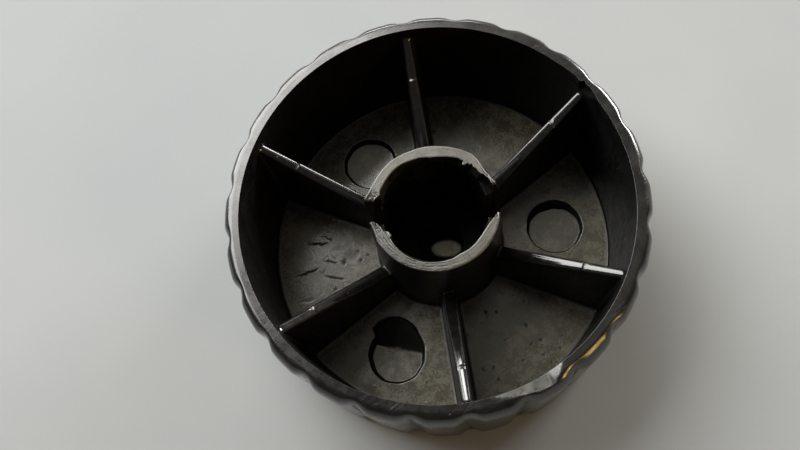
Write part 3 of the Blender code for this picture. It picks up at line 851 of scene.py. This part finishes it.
LOOKS = {
    "wall_out": dict(dark=(.001,) * 3, light=(.003, .003, .0028), rough=.10, rough_to=.22, grain_mm=.5, grain_depth=.003,
                     wear=(.10, .35), wear_colour=(.012, .012, .011), more=handled_rim),
    "rim": dict(dark=(.001,) * 3, light=(.0035, .0035, .0032), rough=.15, rough_to=.26, grain_mm=.18, grain_depth=.003,
                wear=(.12, .45), wear_colour=(.014, .014, .013), speck=(1.3, .05, (.20, .20, .19)), more=handled_rim),
    "wall_in": dict(dark=(.0007,) * 3, light=(.0016,) * 3, level=.12, rough=.42, rough_to=.56, grain_mm=.6, grain_depth=.003, more=drawn_wall),
    "floor": dict(dark=(.0255, .0226, .0150), light=(.0640, .0568, .0380), rough=.20, rough_to=.33, cloud_mm=1.9, fine_mm=.32,
                  grain_mm=.26, grain_depth=.008, speck=(.85, .19, (.0012, .001, .0008)), more=scuffed_floor),
    "rib": dict(dark=(.0012,) * 3, light=(.003,) * 3, level=.28, rough=.36, rough_to=.50, grain_mm=.6, grain_depth=.003, more=drawn_wall),
    "rib_top": dict(dark=(.0015,) * 3, light=(.005, .0048, .0044), rough=.08, rough_to=.17, cloud_mm=1.1, grain_mm=.25,
                    grain_depth=.004, wear=(.15, .45), wear_colour=(.009, .009, .0085), speck=(1.0, .06, (.25, .25, .24))),
    "hub": dict(dark=(.0012,) * 3, light=(.003,) * 3, level=.28, rough=.36, rough_to=.50, grain_mm=.6, grain_depth=.003, more=drawn_wall),
    "collar": dict(dark=(.0295, .0272, .0220), light=(.060, .0556, .0450), rough=.34, rough_to=.52, cloud_mm=1.4, grain_mm=.16,
                   grain_depth=.008, wear=(.10, .35), wear_colour=(.20, .193, .178), speck=(.9, .07, (.24, .23, .21)), more=turned_face),
    "fracture": dict(dark=(.003,) * 3, light=(.010, .0095, .0085), level=.06, rough=.24, rough_to=.50, cloud_mm=.8, grain_mm=.22, grain_depth=.012,
                     wear=(.30, .6), wear_colour=(.10, .095, .09)),
    "bore": dict(dark=(.0012,) * 3, light=(.0035, .003, .0024), level=.12, rough=.20, rough_to=.34, grain_mm=.5, grain_depth=.004, more=deep_bore),
    "mark": dict(level=.72, dark=(.0230, .0206, .0142), light=(.0560, .0505, .0350), rough=.17, rough_to=.30, cloud_mm=1.8, grain_mm=.3, grain_depth=.003),
    "chip": dict(dark=(.005, .0046, .0036), light=(.015, .0138, .0108), rough=.26, rough_to=.42, cloud_mm=1.2, grain_mm=.22, grain_depth=.006),
    # painted light: the pit's pale colour stands in for light reaching the bottom of the bore
    "pit": dict(dark=(.23, .216, .166), light=(.38, .356, .275), rough=.22, rough_to=.38, cloud_mm=1.2, grain_mm=.2, grain_depth=.005),
}


def turn_measure(bm):
    """How sharply the surface turns outwards, and inwards, at each vertex."""
    bm.normal_update()
    outward, inward = [], []
    for v in bm.verts:
        turn = [((v.co - e.other_vert(v).co).normalized()).dot(v.normal) for e in v.link_edges]
        mean = sum(turn) / len(turn)
        outward.append(max(0.0, mean))
        inward.append(max(0.0, -mean))
    return outward, inward


bm, layer, _ = build_knob()
bmesh.ops.recalc_face_normals(bm, faces=bm.faces)
edges, hollows = turn_measure(bm)
knob = finish_mesh(bm, layer)
for name, share in (("edge", edges), ("hollow", hollows)):
    knob.data.attributes.new(name, "FLOAT", "POINT").data.foreach_set("value", share)
for n in ZONES:
    knob.data.materials.append(plastic("plastic_" + n, **LOOKS[n]))
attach(knob, list(frame["bodies"])[0])
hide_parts("knob_body")

# ----------------------------------------------------------------------------
# Stage: a plain pale floor
# ----------------------------------------------------------------------------
floor_mesh = bpy.data.meshes.new("stage_floor")
floor_mesh.from_pydata([(-1, -1, 0), (1, -1, 0), (1, 1, 0), (-1, 1, 0)], [], [(0, 1, 2, 3)])
stage_floor = bpy.data.objects.new("stage_floor", floor_mesh)
bpy.context.scene.collection.objects.link(stage_floor)
cloth = bpy.data.materials.new("stage_pale")
t = Tree(cloth)
b = t.t.nodes["Principled BSDF"]
t.put(b.inputs["Base Color"], t.blend(t.noise(30.0, 2.0, 0.5), (.178, .187, .192, 1), (.204, .211, .213, 1)))
b.inputs["Roughness"].default_value = 0.95
b.inputs["Specular IOR Level"].default_value = 0.1
floor_mesh.materials.append(cloth)

# ----------------------------------------------------------------------------
# Camera
# ----------------------------------------------------------------------------
cam_data = bpy.data.cameras.new("camera")
cam = bpy.data.objects.new("camera", cam_data)
bpy.context.scene.collection.objects.link(cam)
bpy.context.scene.camera = cam
cam_data.sensor_width = 36.0
cam_data.lens = 38.7
cam_data.clip_start, cam_data.clip_end = 0.005, 10.0
right, up, back = Vector((0.782124, -0.616722, -0.08907)), Vector((0.610573, 0.729956, 0.30716)), Vector((-0.124416, -0.294621, 0.94747))
rot = Matrix((right, up, back)).transposed()
cam.matrix_world = Matrix.Translation(Vector((-0.019231, -0.032566, 0.129167))) @ rot.to_4x4()
bpy.context.scene.view_settings.view_transform = 'Standard'

# ----------------------------------------------------------------------------
# Light: a pale room brighter on one side, a big soft window there, two small soft lamps
# ----------------------------------------------------------------------------
FAR = 67.1


def heading(turn, el):
    """A direction: degrees anticlockwise from the far side, and degrees up."""
    a, e = math.radians(FAR + turn), math.radians(el)
    return Vector((math.cos(a) * math.cos(e), math.sin(a) * math.cos(e), math.sin(e)))


def soft_light(name, turn, el, size_x, size_y, bright, colour, dist=1.0):
    """A rectangular soft light, sized in degrees, of a stated brightness."""
    data = bpy.data.lights.new(name, 'AREA')
    data.shape = 'RECTANGLE'
    data.size = 2 * dist * math.tan(math.radians(size_x / 2))
    data.size_y = 2 * dist * math.tan(math.radians(size_y / 2))
    data.energy = bright * math.pi * data.size * data.size_y
    data.color = colour
    obj = bpy.data.objects.new(name, data)
    bpy.context.scene.collection.objects.link(obj)
    d = heading(turn, el)
    obj.location = d * dist
    obj.rotation_mode = 'QUATERNION'
    obj.rotation_quaternion = d.to_track_quat('Z', 'Y')
    obj.visible_camera = False
    return obj


world = bpy.data.worlds.new("studio")
bpy.context.scene.world = world
t = Tree(world)
ray = t.new("ShaderNodeTexCoord").outputs["Generated"]
room = (.18, .17, .155, 1)
LIT = (((-40, 10), (.25, .33), (-10, 0.0, 0.25), (1.04, .97, .78, 1)),       # where, how wide, shaded by, colour
       ((-62, 60), (.89, .98), (-54, 0.0, 0.2), (.50, .49, .44, 1)),
       ((-54, 14), (.84, .95), (-54, 0.0, 0.2), (.45, .45, .42, 1)),
       ((-112, 22), (.86, .95), (-100, 0.0, 0.4), (.22, .20, .17, 1)),
       ((-142, 18), (.91, .985), (-142, 0.0, 0.4), (.55, .42, .26, 1)))
for (turn, el), (lo, hi), (shade, s_lo, s_hi), tint in LIT:
    one = t.step(t.vec("DOT_PRODUCT", ray, tuple(heading(turn, el))), lo, hi)
    side = t.step(t.vec("DOT_PRODUCT", ray, tuple(heading(shade, 0))), s_lo, s_hi)
    room = t.blend(t.math("MULTIPLY", one, side), room, tint)
t.put(t.t.nodes["Background"].inputs["Color"], room)

soft_light("window", 33, 41, 43, 51, 13.6, (1.0, 0.995, 0.97))
soft_light("window_low", 41, 6, 19, 20, 12.0, (0.98, 1.0, 1.0))
soft_light("window_foot", -8, 23, 24, 10, 22.0, (1.0, 1.0, 0.98))
soft_light("side_lamp", -60, 10, 22, 25, 46.0, (1.0, 0.97, 0.95))
soft_light("warm_lamp", -139, 14, 8, 40, 15.0, (1.0, 0.62, 0.18))
